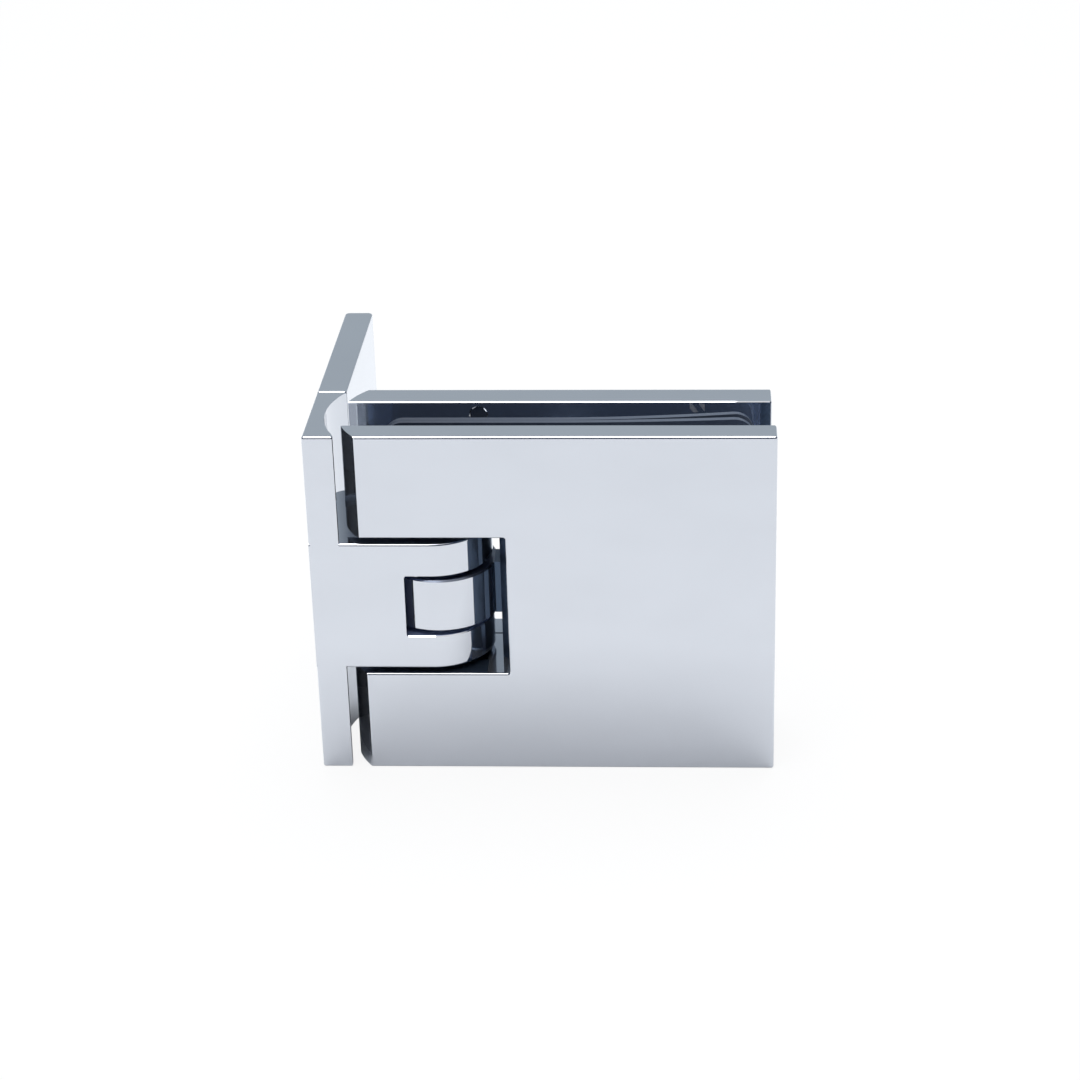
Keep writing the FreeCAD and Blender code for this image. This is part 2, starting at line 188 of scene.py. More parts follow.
# %% [markdown]
# A polishing wheel doesn't reach everywhere, so the walls of the plates' notch, the inside of the fork
# and the block between the plates are left rougher. They are also painted dark and bluish: painted shade
# for these recesses, where little light reaches, and the polished sides of the knuckle mirror it as a
# dark band. Each of these is a part of one piece, so the finish has to tell the parts of a piece apart.
# A painted image would do, but a box in the piece's own coordinates is exact and stays sharp: a share
# that is 1 inside the box and 0 outside it.


# %% Telling the parts of a piece apart
def both_of(nodes, links, first, second):
    """The product of two shares: 1 only where both are."""
    product = nodes.new("ShaderNodeMath")
    product.operation = "MULTIPLY"
    links.new(first, product.inputs[0])
    links.new(second, product.inputs[1])
    return product.outputs[0]


def within(nodes, links, place, *ranges_mm):
    """1 inside a box, 0 outside it. Each range is (low, high), or None where that axis is free."""
    split = nodes.new("ShaderNodeSeparateXYZ")
    links.new(place, split.inputs[0])
    share = None
    for axis, span in zip("XYZ", ranges_mm):
        if span is None:
            continue
        test = nodes.new("ShaderNodeMath")
        test.operation = "COMPARE"
        test.inputs[1].default_value = (span[0] + span[1]) / 2 * MM
        test.inputs[2].default_value = (span[1] - span[0]) / 2 * MM
        links.new(split.outputs[axis], test.inputs[0])
        share = test.outputs[0] if share is None else both_of(nodes, links, share, test.outputs[0])
    return share


# %% [markdown]
# The back plate has a small patch of slanting strokes near its upper edge, on the inner face, as a
# coarse file or a die would leave. They are too shallow to be worth a form of their own, so they are
# a wave pattern, turned on the slant and kept inside a box.

# %% Struck strokes
STROKE_SLANT = math.radians(35)
STROKE_SCALE = 130                  # about 2.4 mm from one stroke to the next
STROKE_WAVER = 1.5


def struck_strokes(nodes, links, place, *box):
    """1 on slanting strokes inside a box."""
    turn = nodes.new("ShaderNodeMapping")
    turn.inputs["Rotation"].default_value = (0, STROKE_SLANT, 0)
    links.new(place, turn.inputs["Vector"])
    strokes = nodes.new("ShaderNodeTexWave")
    strokes.inputs["Scale"].default_value = STROKE_SCALE
    strokes.inputs["Distortion"].default_value = STROKE_WAVER
    links.new(turn.outputs["Vector"], strokes.inputs["Vector"])
    lines = ranged(nodes, links, strokes.outputs["Fac"], 0.4, 0.7, 0, 1)
    return both_of(nodes, links, within(nodes, links, place, *box), lines)


# %% [markdown]
# The hinge is cast or milled, polished to a mirror and plated with chrome. Chrome gives back about
# two thirds of the light, a little more of the blue. Its look is the studio's reflection, so the
# finish itself is quiet: a breath of haze where it was wiped, and the faintest ripple that
# polishing leaves. A small matt share stands for the dust and haze that lift its blackest parts.

# %% Polished chrome
CHROME = (0.652, 0.667, 0.700)
HAZED = tuple(c * 0.975 for c in CHROME)
CLEAN_ROUGHNESS, WIPED_ROUGHNESS = 0.015, 0.05
METALLIC = 0.965                    # the rest is the matt share
STROKES, STROKES_ROUGHNESS = (0.70, 0.72, 0.75), 0.6
RIPPLE_MM, RIPPLE_DEPTH_MM = 9, 0.00012


def chrome(name, patches=(), struck=None):
    """Polished chrome. A patch is (box, colour, roughness, metallic) of a part with another finish, most of
    them painted shade.
    """
    material, nodes, links, shader = new_finish(name)
    place = own_coordinates(nodes)
    wiped = noise(nodes, links, place, grain_mm=22, detail=3, stretch=(1, 1, 2.2))
    colour = blended(nodes, links, ranged(nodes, links, wiped, 0.35, 0.7, 0, 1), CHROME, HAZED)
    roughness = ranged(nodes, links, wiped, 0.4, 0.75, CLEAN_ROUGHNESS, WIPED_ROUGHNESS)
    metallic = METALLIC
    for box, its_colour, its_roughness, its_metallic in patches:
        share = within(nodes, links, place, *box)
        colour = blended(nodes, links, share, colour, its_colour)
        roughness = blended(nodes, links, share, roughness, its_roughness)
        metallic = blended(nodes, links, share, metallic, its_metallic)
    if struck is not None:
        share = struck_strokes(nodes, links, place, *struck)
        colour = blended(nodes, links, share, colour, STROKES)
        roughness = blended(nodes, links, share, roughness, STROKES_ROUGHNESS)
    links.new(colour, shader.inputs["Base Color"])
    links.new(roughness, shader.inputs["Roughness"])
    give(links, metallic, shader.inputs["Metallic"])
    bumped(nodes, links, noise(nodes, links, place, RIPPLE_MM, detail=1), RIPPLE_DEPTH_MM, shader)
    return material


# %% [markdown]
# Now each of the five chromed pieces gets its finish, with the parts of painted shade that show on it.
# The cover is polished all over. The bracket is painted dark inside its fork, and the pivot block is
# painted dark but for its barrel, whose upper rim, in the shade under the lobe, gets a dark band in
# place of its highlight. On the plates the notch is painted dark; the rounded ends beside the wall and
# the inner faces, which the glass will cover, are half polished and painted a little darker, as shade
# between the plates and beside the wall; and the ledge at the bottom of the notch is bright enough to
# mirror the light that falls past the knuckle. Near its free end the back plate's inner face is painted
# dark as well, in place of the light it would mirror there, but for the struck strokes. Each painted
# part is also rougher than the chrome.

# %% Chrome for the five pieces
# Painted shade: a dark, bluish colour for the notch, the block, its lips and the back plate's free end, in
# place of the light these parts would mirror; the rougher finish is their own.
DULL_PAINTED_SHADE = ((0.060, 0.090, 0.140), 0.28, 0.72)      # colour, roughness, metallic
# Painted shade inside the fork, with a rougher finish.
FORK_PAINTED_SHADE = ((0.26, 0.33, 0.55), 0.30, 0.50)
# Painted shade between the plates and on their rounded ends beside the wall, with a rougher finish.
INNER_PAINTED_SHADE = ((0.33, 0.41, 0.56), 0.10, 0.78)
SIDE_PAINTED_SHADE = ((0.45, 0.48, 0.53), 0.05, 0.92)
# Painted shade on the barrel's upper rim, under the lobe, in place of its highlight.
RIM_PAINTED_SHADE = ((0.16, 0.18, 0.23), 0.25, 0.80)
LEDGE = ((0.50, 0.54, 0.60), 0.05, 0.88)

LIP_FACE = 41.4                     # x just before the block's lips; all sizes here are in mm
POLISH_END = 43.5                   # x where the barrel's polish ends, just before the neck begins
NOTCH_END = 47.34                   # x just past the notch's far wall
HALF_NOTCH = 18.43                  # z just past the notch's floor and roof
ROUND_END = (0, 13.2)               # x of the plates' rounded ends beside the wall
UPRIGHT = (-44.7, 44.7)             # z between the chamfers of the inner faces
FRONT_SKIN = (-7.05, -6.9)          # y just round the front plate's inner face
BACK_SKIN = (6.9, 7.05)             # y just round the back plate's

# Where the painted shade goes; the ledges keep a brighter, mirror finish.
inside_fork = (((13, 44), (-13.7, 13.7), (-8.06, 8.06)), *FORK_PAINTED_SHADE)
barrel_top = (((0, POLISH_END), None, (6.48, 7.0)), *RIM_PAINTED_SHADE)
neck_and_block = (((POLISH_END, 80), None, None), *DULL_PAINTED_SHADE)
lips = [(((LIP_FACE, POLISH_END), None, span), *DULL_PAINTED_SHADE) for span in ((15, 30), (-30, -15))]
lip_ledge = (((LIP_FACE, 47.3), None, (-18.45, -18.3)), *LEDGE)
notch = (((0, NOTCH_END), None, (-HALF_NOTCH, HALF_NOTCH)), *DULL_PAINTED_SHADE)
ledge = (((41.8, NOTCH_END), None, (-HALF_NOTCH, -18.35)), *LEDGE)
front_inside = ((None, FRONT_SKIN, UPRIGHT), *INNER_PAINTED_SHADE)
back_inside = ((None, BACK_SKIN, UPRIGHT), *INNER_PAINTED_SHADE)
front_end = ((ROUND_END, (-13.2, -6.9), UPRIGHT), *SIDE_PAINTED_SHADE)
back_end = ((ROUND_END, (6.9, 13.9), UPRIGHT), *SIDE_PAINTED_SHADE)
free_end = (((108.5, 120), BACK_SKIN, UPRIGHT), *DULL_PAINTED_SHADE)
strokes_box = ((91.4, 95.0), (6.95, 7.05), (42.2, 44.5))

dress("wall_cover", chrome("cover_chrome"))
dress("wall_bracket", chrome("bracket_chrome", [inside_fork]))
dress("pivot_block", chrome("barrel_chrome", [barrel_top, neck_and_block, *lips, lip_ledge]))
dress("front_plate", chrome("front_plate_chrome", [front_inside, front_end, notch, ledge]))
dress("back_plate", chrome("back_plate_chrome", [back_inside, back_end, notch, ledge, free_end],
                           strokes_box))
print("chrome:", sorted(m.name for m in bpy.data.materials if "chrome" in m.name))

# %% [markdown]
# The small metal parts are turned from bar and only satin, with a grain that is finer along the
# screws' axes, as a turning tool leaves it. The plastic parts are moulded nylon, which lets a little
# light into its skin. The gaskets are dark rubber sheet with a fine grain, and paler towards the
# free end, where the clamp is open. The record names each piece's kind of material, so one loop
# dresses them all, also the ones hidden inside.

# %% Steel, nylon and rubber
STEEL_SHADES = ((0.46, 0.47, 0.49), (0.60, 0.61, 0.63))
NYLON_SHADES = ((0.70, 0.71, 0.69), (0.80, 0.81, 0.79))
RUBBER_SHADES = ((0.018, 0.026, 0.046), (0.03, 0.04, 0.064))
FREE_END_TONE = (0.085, 0.11, 0.155)
PALER_FROM, PALER_TO, PALEST_SHARE = 20 * MM, 90 * MM, 0.75


def turned_steel():
    material, nodes, links, shader = new_finish("turned_steel")
    shader.inputs["Metallic"].default_value = 1.0
    place = own_coordinates(nodes)
    marks = noise(nodes, links, place, grain_mm=0.5, detail=2, stretch=(1, 6, 1))
    links.new(blended(nodes, links, marks, *STEEL_SHADES), shader.inputs["Base Color"])
    links.new(ranged(nodes, links, marks, 0.3, 0.7, 0.2, 0.34), shader.inputs["Roughness"])
    bumped(nodes, links, marks, 0.006, shader)
    return material


def nylon():
    material, nodes, links, shader = new_finish("nylon")
    place = own_coordinates(nodes)
    blots = noise(nodes, links, place, grain_mm=2.5, detail=2)
    links.new(blended(nodes, links, blots, *NYLON_SHADES), shader.inputs["Base Color"])
    shader.inputs["Roughness"].default_value = 0.45
    shader.inputs["Subsurface Weight"].default_value = 0.1
    shader.inputs["Subsurface Radius"].default_value = (MM, MM, MM)
    bumped(nodes, links, noise(nodes, links, place, grain_mm=0.4, detail=2), 0.008, shader)
    return material


def gasket_rubber():
    material, nodes, links, shader = new_finish("gasket_rubber")
    place = own_coordinates(nodes)
    split = nodes.new("ShaderNodeSeparateXYZ")
    links.new(place, split.inputs[0])
    # The rubber turns paler along x towards the free end, up to this share of the paler tone.
    paler = ranged(nodes, links, split.outputs["X"], PALER_FROM, PALER_TO, 0.0, PALEST_SHARE)
    blots = noise(nodes, links, place, grain_mm=3, detail=4)
    plain_rubber = blended(nodes, links, blots, *RUBBER_SHADES)
    links.new(blended(nodes, links, paler, plain_rubber, FREE_END_TONE), shader.inputs["Base Color"])
    shader.inputs["Roughness"].default_value = 0.5
    bumped(nodes, links, noise(nodes, links, place, grain_mm=0.35, detail=2), 0.01, shader)
    return material


finish = {"steel": turned_steel(), "plastic": nylon(), "rubber": gasket_rubber()}
not_chromed = [part for part in frame["record"]["subparts"] if part["material_slot"] in finish]
for part in not_chromed:
    dress(part["node"], finish[part["material_slot"]])
print("dressed by slot:", len(not_chromed), "pieces")

# %% [markdown]
# The screws repeat, so one of each kind is turned as a mesh, and a small tree of geometry nodes sets
# it out on points. A screw here is a stack of rings from the bottom of its socket, up over the head
# and down the shank: six-sided rings inside the socket, round ones outside. Loose pairs of screws
# never stop at the same angle, so the tree turns each by its own random angle, from a fixed seed.

# %% Turning one screw
SIDES = 48


def smoothed(mesh, sharp_degrees):
    """Smooth shading, but for the edges where two faces meet at more than this angle."""
    for face in mesh.polygons:
        face.use_smooth = True
    mesh.set_sharp_from_angle(angle=math.radians(sharp_degrees))


def turned(name, rings):
    """A closed mesh about the Y axis. A ring is (radius, y, six-sided?), in millimetres."""
    shape = bmesh.new()
    loops = []
    for radius, y, six_sided in rings:
        loop = []
        for k in range(SIDES):
            angle = math.tau * k / SIDES
            reach = radius / math.cos(angle % (math.pi / 3) - math.pi / 6) if six_sided else radius
            loop.append(shape.verts.new(Vector((reach * math.cos(angle), y, reach * math.sin(angle))) * MM))
        loops.append(loop)
    for one, other in zip(loops, loops[1:]):
        for k in range(SIDES):
            shape.faces.new((one[k - 1], one[k], other[k], other[k - 1]))
    shape.faces.new(loops[0])
    shape.faces.new(loops[-1])
    bmesh.ops.recalc_face_normals(shape, faces=shape.faces)
    mesh = bpy.data.meshes.new(name)
    shape.to_mesh(mesh)
    shape.free()
    smoothed(mesh, sharp_degrees=32)
    return bpy.data.objects.new(name, mesh)


# %% [markdown]
# A socket is drilled, then pressed to six sides, and its mouth is chamfered. Its rings follow from
# three sizes of the screw. The outside is a short list of rings, read from the rim of the head to the
# chamfered tip: a countersunk head on the clamp screws, none on the lock screws, and a straight
# one on the block screws.

# %% Three kinds of screws
DRILL_TIP = 0.05                    # radius, in mm as the other sizes
DRILL_CONE, DRILL_SHARE = 0.25, 0.9             # the cone's depth and the drill's radius
MOUTH_DEPTH, MOUTH_SHARE = 0.2, 1.2             # shares are of half the width across flats


def socket_rings(top, flats, depth):
    """From the drilled bottom of a six-sided socket up to its chamfered mouth."""
    half = flats / 2
    bottom = top - depth
    return [(DRILL_TIP, bottom - DRILL_CONE * half, False), (half * DRILL_SHARE, bottom, False),
            (half, bottom, True), (half, top - MOUTH_DEPTH, True), (half * MOUTH_SHARE, top, False)]


def screw(name, top, flats, depth, outside):
    """A screw along Y with its socket at the top. The outside is a list of (radius, y)."""
    return turned(name, socket_rings(top, flats, depth) + [(radius, y, False) for radius, y in outside])


clamp_screw = screw("clamp_screw", 14.8, 4.0, 2.4, [
    (5.35, 14.8), (5.52, 14.75), (5.6, 14.6), (5.6, 14.5),
    (3.2, 12.3), (3.0, 11.9), (3.0, -11.4), (2.55, -11.9)])
lock_screw = screw("lock_screw", 11.02, 2.5, 2.2, [
    (2.1, 11.02), (2.48, 10.7), (2.48, 5.6), (1.9, 5.02)])
block_screw = screw("block_screw", 6.3, 3.0, 1.8, [
    (3.9, 6.3), (4.12, 6.22), (4.2, 6.0), (4.2, 3.9),
    (4.1, 3.8), (2.5, 3.8), (2.5, -11.4), (2.1, -11.9)])
print("screw faces:", [len(o.data.polygons) for o in (clamp_screw, lock_screw, block_screw)])

# %% [markdown]
# Six screws could be copied by hand, each at its own place. A tree of geometry nodes does it by a
# rule instead: it puts the turned piece on every point it is given and turns it by chance about its
# own axis. The tree ends with real copies and their finish, because an exported model has no others.


# %% A tree that sets pieces out on points
def new_tree(name, inputs):
    """A geometry tree with named inputs; returns it with its input and output nodes."""
    tree = bpy.data.node_groups.new(name, "GeometryNodeTree")
    tree.interface.new_socket("Geometry", in_out="INPUT", socket_type="NodeSocketGeometry")
    for label, kind in inputs:
        tree.interface.new_socket(label, in_out="INPUT", socket_type="NodeSocket" + kind)
    tree.interface.new_socket("Geometry", in_out="OUTPUT", socket_type="NodeSocketGeometry")
    return tree, tree.nodes.new("NodeGroupInput"), tree.nodes.new("NodeGroupOutput")


def made_real(tree, geometry, its_finish, result):
    """End a tree: instances become real geometry, which gets its finish."""
    real = tree.nodes.new("GeometryNodeRealizeInstances")
    tree.links.new(geometry, real.inputs[0])
    paint = tree.nodes.new("GeometryNodeSetMaterial")
    tree.links.new(real.outputs[0], paint.inputs["Geometry"])
    tree.links.new(its_finish, paint.inputs["Material"])
    tree.links.new(paint.outputs[0], result.inputs[0])


def setting_out_tree():
    tree, given, result = new_tree("set_out_on_points", [
        ("Piece", "Object"), ("Seed", "Int"), ("Finish", "Material")])
    nodes, links = tree.nodes, tree.links
    piece = nodes.new("GeometryNodeObjectInfo")
    links.new(given.outputs["Piece"], piece.inputs["Object"])
    chance = nodes.new("FunctionNodeRandomValue")
    chance.data_type = "FLOAT"      # whose sockets are inputs 2 and 3 and output 1
    chance.inputs[2].default_value = 0.0
    chance.inputs[3].default_value = math.tau
    links.new(given.outputs["Seed"], chance.inputs["Seed"])
    turn = nodes.new("ShaderNodeCombineXYZ")
    links.new(chance.outputs[1], turn.inputs["Y"])
    spin = nodes.new("FunctionNodeEulerToRotation")
    links.new(turn.outputs[0], spin.inputs[0])
    place = nodes.new("GeometryNodeInstanceOnPoints")
    links.new(given.outputs["Geometry"], place.inputs["Points"])
    links.new(piece.outputs["Geometry"], place.inputs["Instance"])
    links.new(spin.outputs[0], place.inputs["Rotation"])
    made_real(tree, place.outputs[0], given.outputs["Finish"], result)
    return tree


def grown(name, tree, values, points_mm=((0, 0, 0),)):
    """Run a tree on some points and return its result as a plain piece."""
    seeds = bpy.data.meshes.new(name + "_points")
    seeds.from_pydata([Vector(p) * MM for p in points_mm], [], [])
    host = bpy.data.objects.new(name + "_host", seeds)
    bpy.context.scene.collection.objects.link(host)
    growth = host.modifiers.new("growth", "NODES")
    growth.node_group = tree
    for socket in tree.interface.items_tree:
        if socket.item_type == "SOCKET" and socket.in_out == "INPUT" and socket.name in values:
            growth[socket.identifier] = values[socket.name]
    host.update_tag()
    ready = host.evaluated_get(bpy.context.evaluated_depsgraph_get())
    mesh = bpy.data.meshes.new_from_object(ready)
    mesh.name = name
    bpy.data.objects.remove(host)
    piece = bpy.data.objects.new(name, mesh)
    bpy.context.scene.collection.objects.link(piece)
    print(name, len(mesh.vertices), "points,", len(mesh.polygons), "faces")
    return piece


def hand_over(piece, body, slot, *nodes):
    """The finished piece rides on its body and stands for its construction nodes."""
    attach(piece, body)
    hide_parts(*nodes)


# %% [markdown]
# The screws come in pairs, one above and one below the middle. A pair is one piece that stands for
# the two construction screws and rides on the same body: the lock screws stay with the wall's side,
# the others swing with the glass.

# %% Screws in their places
CLAMP_SCREW_X, CLAMP_SCREW_Z = 62, 31           # mm, as the other places
set_out = setting_out_tree()
for kind, original, x, z, seed, body in (
        ("clamp_screw", clamp_screw, CLAMP_SCREW_X, CLAMP_SCREW_Z, 3, "glass_side"),
        ("block_screw", block_screw, 67, 15, 5, "glass_side"),
        ("pin_lock_screw", lock_screw, 29, 12.425, 8, "wall_side")):
    bpy.context.scene.collection.objects.link(original)
    pair = grown(kind + "s", set_out, {"Piece": original, "Seed": seed, "Finish": finish["steel"]},
                 [(x, 0, z), (x, 0, -z)])
    hand_over(pair, body, "steel", kind + "_upper", kind + "_lower")
    bpy.data.objects.remove(original)

# %% [markdown]
# The two gaskets are rubber sheets that lie loose in the empty clamp. They stand on their lower
# edge, lean back a little, and bow away from the front plate towards the free end, the rear one
# more. That is a rule, not a drawing, so a tree of geometry nodes makes them: a finely divided
# sheet is cut out for the block and the screws, then every point is moved onto the bow's arc, and
# at the end the sheet leans. Both gaskets are the same tree with other numbers. Such a tree has
# many small steps, so the usual ones get short names first.


# %% Short names for a tree's steps
class Steps:
    """The nodes and links of a tree. A value is a number or a socket."""

    def __init__(self, tree):
        self.nodes = tree.nodes
        self.links = tree.links

    def fill(self, step, values):
        """Set or link a step's inputs, in their order, and return its output."""
        for socket, value in zip(step.inputs, values):
            give(self.links, value, socket)
        return step.outputs[0]

    def ask(self, operation, *values):
        """One step of reckoning."""
        step = self.nodes.new("ShaderNodeMath")
        step.operation = operation
        return self.fill(step, values)

    def vector(self, *values):
        return self.fill(self.nodes.new("ShaderNodeCombineXYZ"), values)

    def placed(self, geometry, shift, turn=None):
        step = self.nodes.new("GeometryNodeTransform")
        self.links.new(geometry, step.inputs["Geometry"])
        self.links.new(shift, step.inputs["Translation"])
        if turn is not None:
            self.links.new(turn, step.inputs["Rotation"])
        return step.outputs[0]

    def divided_box(self, box_size, counts):
        step = self.nodes.new("GeometryNodeMeshCube")
        self.links.new(box_size, step.inputs["Size"])
        for label, count in zip(("Vertices X", "Vertices Y", "Vertices Z"), counts):
            step.inputs[label].default_value = count
        return step.outputs["Mesh"]


# %% [markdown]
# The sheet starts flat. It is divided finely along its length, where it will bend, and less along
# its height. The cutting bodies are much thicker than the sheet, so each goes clean through it: a box
# for the pivot block and a round bar for each clamp screw.

# %% The flat sheet and what is cut out of it
SHEET_POINTS = (140, 2, 32)         # along the length, the thickness and the height
CUT_THROUGH = 20 * MM
HOLE_SIDES = 32


def cut_sheet(steps, size):
    """A sheet standing on its lower edge, front face at y = 0, with the block's opening and the holes."""
    ask, vector = steps.ask, steps.vector
    length = ask("SUBTRACT", size["Reach"], size["Start"])
    half_height = ask("MULTIPLY", size["Height"], 0.5)
    whole = steps.divided_box(vector(length, size["Thickness"], size["Height"]), SHEET_POINTS)
    sheet = steps.placed(whole, vector(ask("MULTIPLY_ADD", length, 0.5, size["Start"]),
                                       ask("MULTIPLY", size["Thickness"], 0.5), half_height))
    across_block = vector(ask("MULTIPLY", size["Block end"], 2.0), CUT_THROUGH,
                          ask("MULTIPLY", size["Block half"], 2.0))
    opening = steps.placed(steps.divided_box(across_block, (2, 2, 2)), vector(0.0, 0.0, half_height))
    cut = steps.nodes.new("GeometryNodeMeshBoolean")
    cut.operation = "DIFFERENCE"
    steps.links.new(sheet, cut.inputs["Mesh 1"])
    steps.links.new(opening, cut.inputs["Mesh 2"])
    for side in (-1.0, 1.0):
        hole = steps.nodes.new("GeometryNodeMeshCylinder")
        hole.inputs["Vertices"].default_value = HOLE_SIDES
        hole.inputs["Depth"].default_value = CUT_THROUGH
        steps.links.new(size["Screw hole"], hole.inputs["Radius"])
        level = ask("MULTIPLY_ADD", size["Screw up"], side, half_height)
        across = steps.placed(hole.outputs["Mesh"], vector(size["Screw along"], 0.0, level),
                              vector(math.pi / 2, 0.0, 0.0))
        steps.links.new(across, cut.inputs["Mesh 2"])
    return cut.outputs["Mesh"]


# %% [markdown]
# The rule that bends the sheet works on each point's own place. Near an end the sheet's height is
# squeezed along a quarter circle, which rounds the corners. Past the place where the bow begins, a
# point of the front face keeps its x and moves out onto an arc, and the thickness stands square to
# that arc. The arc's radius follows from how far the free end has bowed, so the one number that was
# read from the photograph is enough.


# %% The rule of the bow
def on_the_bow(steps, size, flat):
    """Round the corners of a flat sheet, then carry every point onto the bow's arc."""
    ask = steps.ask
    spot = steps.nodes.new("GeometryNodeInputPosition")
    split = steps.nodes.new("ShaderNodeSeparateXYZ")
    steps.links.new(spot.outputs[0], split.inputs[0])
    x, depth, z = split.outputs["X"], split.outputs["Y"], split.outputs["Z"]

    corner = size["Corner"]
    half_height = ask("MULTIPLY", size["Height"], 0.5)
    past_free_end = ask("SUBTRACT", x, ask("SUBTRACT", size["Reach"], corner))
    past_wall_end = ask("SUBTRACT", ask("ADD", size["Start"], corner), x)
    past = ask("MAXIMUM", ask("MAXIMUM", past_free_end, past_wall_end), 0.0)
    chord = ask("MAXIMUM", ask("SUBTRACT", ask("POWER", corner, 2.0), ask("POWER", past, 2.0)), 0.0)
    drop = ask("SUBTRACT", corner, ask("SQRT", chord))
    squeeze = ask("DIVIDE", ask("SUBTRACT", half_height, drop), half_height)
    level = ask("MULTIPLY_ADD", ask("SUBTRACT", z, half_height), squeeze, half_height)

    end_run = ask("SUBTRACT", size["Reach"], size["Bow from"])
    squares = ask("ADD", ask("POWER", end_run, 2.0), ask("POWER", size["Bow"], 2.0))
    radius = ask("DIVIDE", squares, ask("MULTIPLY", size["Bow"], 2.0))
    run = ask("MAXIMUM", ask("SUBTRACT", x, size["Bow from"]), 0.0)
    sine = ask("DIVIDE", run, radius)
    cosine = ask("SQRT", ask("SUBTRACT", 1.0, ask("POWER", sine, 2.0)))
    reach = ask("SUBTRACT", radius, depth)
    bowed_x = ask("ADD", ask("MINIMUM", x, size["Bow from"]), ask("MULTIPLY", reach, sine))
    bowed_y = ask("SUBTRACT", radius, ask("MULTIPLY", reach, cosine))

    bend = steps.nodes.new("GeometryNodeSetPosition")
    steps.links.new(flat, bend.inputs["Geometry"])
    steps.links.new(steps.vector(bowed_x, ask("ADD", bowed_y, size["Stand off"]), level),
                    bend.inputs["Position"])
    return bend.outputs["Geometry"]


# %% [markdown]
# The whole tree is short now: the flat sheet is bowed, then leaned back from the front plate's inner
# face and let down to its place. The lean is given as the distance that the upper edge stands off.

# %% The gaskets' tree
GASKET_SIZES = ("Start", "Reach", "Height", "Thickness", "Stand off", "Bow from", "Bow", "Corner", "Lean",
                "Block end", "Block half", "Screw along", "Screw up", "Screw hole")
FRONT_FACE = -7 * MM                # the front plate's inner face, where the gaskets stand


def gasket_tree():
    tree, given, result = new_tree("bowed_sheet", [(label, "Float") for label in GASKET_SIZES]
                                   + [("Finish", "Material")])
    steps, size = Steps(tree), given.outputs
    sheet = on_the_bow(steps, size, cut_sheet(steps, size))
    angle = steps.ask("ARCSINE", steps.ask("DIVIDE", size["Lean"], size["Height"]))
    leaned = steps.placed(sheet, steps.vector(0.0, FRONT_FACE, steps.ask("MULTIPLY", size["Height"], -0.5)),
                          steps.vector(steps.ask("MULTIPLY", angle, -1.0), 0.0, 0.0))
    made_real(tree, leaned, size["Finish"], result)
    return tree


# %% [markdown]
# The two gaskets share all sizes but two: the rear one starts just behind the front one, and bows
# about twice as far.

# %% Two gaskets
SHEET = {"Start": 18.0, "Reach": 107.0, "Height": 89.2, "Thickness": 1.6, "Bow from": 57.0, "Corner": 5.0,
         "Lean": 2.35, "Block end": 76.5, "Block half": 22.5, "Screw along": CLAMP_SCREW_X,
         "Screw up": CLAMP_SCREW_Z, "Screw hole": 3.5}
bowed_sheet = gasket_tree()
for name, stand_off, bow in (("gasket_front", 0.0, 2.3), ("gasket_rear", 1.7, 4.5)):
    sizes = {label: value * MM for label, value in {**SHEET, "Stand off": stand_off, "Bow": bow}.items()}
    sheet = grown(name + "_sheet", bowed_sheet, {**sizes, "Finish": finish["rubber"]})
    smoothed(sheet.data, sharp_degrees=40)
    hand_over(sheet, "glass_side", "rubber", name)
    low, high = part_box(name)
    corners = [v.co for v in sheet.data.vertices]
    print(name, "solid", [round(c / MM, 2) for c in (*low, *high)], "sheet",
          [round(f(v[i] for v in corners) / MM, 2) for f in (min, max) for i in range(3)])

# %% [markdown]
# The hinge stands on a plain pale floor. The camera sees the floor as white, so most of what it sees
# is light that the floor gives off by itself, and a tenth is its real, lit surface: enough to keep
# the hinge's soft shadow. The chrome mirrors only the real surface, so the front of the plates
# darkens downwards, where they mirror their own shadow on the floor.

# %% Floor
FLOOR_SIDE = 6.0
FLOOR_COLOUR = (0.86, 0.88, 0.90)
GLOW = 0.9                          # the share of white that the camera sees


def camera_rays(nodes):
    """1 for a ray straight from the camera, 0 for one that has met something on its way."""
    return nodes.new("ShaderNodeLightPath").outputs["Is Camera Ray"]


def shared_out(nodes, links, share, first, second):
    """One shader where the share is 0, another where it is 1."""
    mix = nodes.new("ShaderNodeMixShader")
    links.new(share, mix.inputs["Fac"])
    links.new(first.outputs[0], mix.inputs[1])
    links.new(second.outputs[0], mix.inputs[2])
    return mix.outputs[0]


bpy.ops.mesh.primitive_plane_add(size=FLOOR_SIDE, location=(0.0, 0.0, model_box[0][2]))
plane = bpy.context.object
plane.name = "floor"
plane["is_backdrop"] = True

material, nodes, links, shader = new_finish("pale_floor")
nodes.remove(shader)
diffuse = nodes.new("ShaderNodeBsdfDiffuse")
diffuse.inputs["Color"].default_value = (*FLOOR_COLOUR, 1)
white = nodes.new("ShaderNodeEmission")
share = ranged(nodes, links, camera_rays(nodes), 0, 1, 0, GLOW)
look = shared_out(nodes, links, share, diffuse, white)
links.new(look, nodes["Material Output"].inputs["Surface"])
plane.data.materials.append(material)
print("floor at", round(plane.location.z / MM, 2), "mm")

# %% [markdown]
# Chrome has hardly a colour of its own. What it shows is the room, so the room is painted for it:
# night blue before the hinge up to the soft light overhead, pale grey behind it, and a dim band
# between that and the light. Upright faces then mirror the floor, top faces the pale grey, and each
# rounded edge runs through the whole room, which draws its white line with a dark one beside it.
# The camera itself sees plain white.

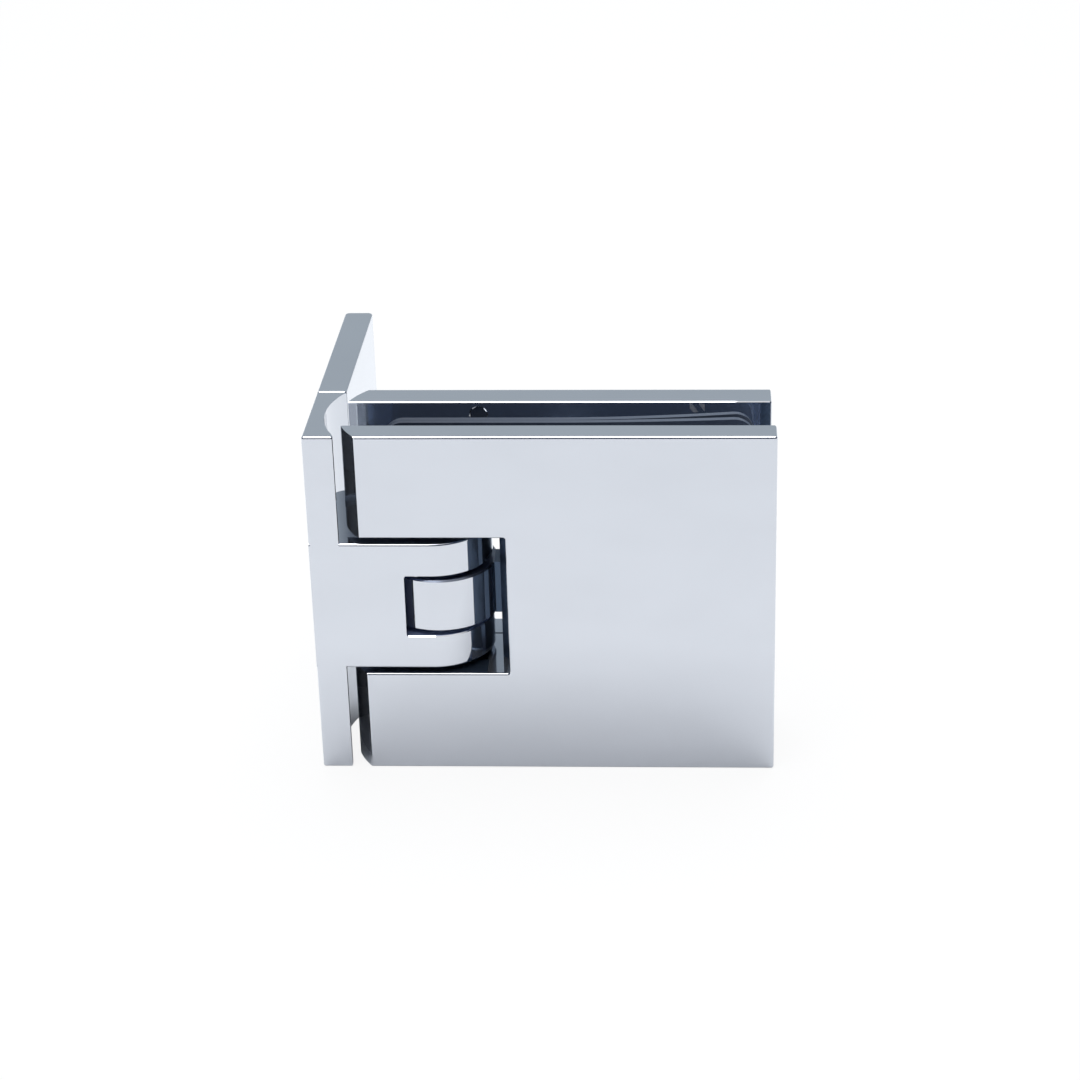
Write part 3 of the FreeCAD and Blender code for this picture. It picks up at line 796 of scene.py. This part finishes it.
# %% World
NIGHT = (0.020, 0.036, 0.085)
SKY = (1.0, 1.0, 1.0)
BACK = (0.44, 0.50, 0.555)
DIM = (0.16, 0.18, 0.21)
BEFORE = ((0.0, NIGHT), (0.70, NIGHT), (0.84, SKY))             # by height: 0 is level, 1 overhead
BEHIND = ((0.0, BACK), (0.46, BACK), (0.54, DIM), (0.64, DIM), (0.8, SKY))
TURNS_FROM, TURNS_TO = 0.1, 0.75    # along Y, where the one room goes over into the other


def ramp(nodes, links, value, stops):
    """A colour ramp over a value from 0 to 1; stops are (share, colour)."""
    band = nodes.new("ShaderNodeValToRGB")
    points = band.color_ramp.elements
    while len(points) < len(stops):
        points.new(0.5)
    for point, (share, colour) in zip(points, stops):
        point.position = share
        point.color = (*colour, 1)
    links.new(value, band.inputs["Fac"])
    return band.outputs["Color"]


world = bpy.data.worlds.new("studio")
world.use_nodes = True
bpy.context.scene.world = world
nodes, links = world.node_tree.nodes, world.node_tree.links
nodes.clear()
direction = nodes.new("ShaderNodeTexCoord")
split = nodes.new("ShaderNodeSeparateXYZ")
links.new(direction.outputs["Generated"], split.inputs[0])
before = ramp(nodes, links, split.outputs["Z"], BEFORE)
behind = ramp(nodes, links, split.outputs["Z"], BEHIND)
facing = ranged(nodes, links, split.outputs["Y"], TURNS_FROM, TURNS_TO, 0, 1)
around = nodes.new("ShaderNodeBackground")
links.new(blended(nodes, links, facing, before, behind), around.inputs["Color"])
seen = nodes.new("ShaderNodeBackground")
seen.inputs["Color"].default_value = (1, 1, 1, 1)
out = nodes.new("ShaderNodeOutputWorld")
links.new(shared_out(nodes, links, camera_rays(nodes), around, seen), out.inputs["Surface"])
print("world:", len(nodes), "nodes")

# %% [markdown]
# Two wide lamps hang high above, one behind the hinge and one before it to the left. They light the
# floor, and the chrome shows the lit floor. Their size keeps every shadow soft.

# %% Lamps
AIM = Vector((0.05, 0, -0.04))


def soft_lamp(name, place, side, power):
    """A square lamp that looks at the hinge."""
    data = bpy.data.lights.new(name, "AREA")
    data.shape = "SQUARE"
    data.size = side
    data.energy = power
    lamp = bpy.data.objects.new(name, data)
    lamp.location = place
    lamp.rotation_euler = (AIM - Vector(place)).to_track_quat("-Z", "Y").to_euler()
    bpy.context.scene.collection.objects.link(lamp)
    print(name, side, "m wide,", power, "W")


soft_lamp("behind_above", (0.08, 0.42, 1.5), side=1.0, power=15.5)
soft_lamp("front_above", (-0.35, -0.55, 1.5), side=0.9, power=8.2)

# %% [markdown]
# The dressed hinge must be no larger than the construction model.

# %% Check the sizes
dressed_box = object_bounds()
differences = [abs(a - b) / MM for one, other in zip(model_box, dressed_box) for a, b in zip(one, other)]
print("largest difference of the two boxes, mm:", round(max(differences), 3))
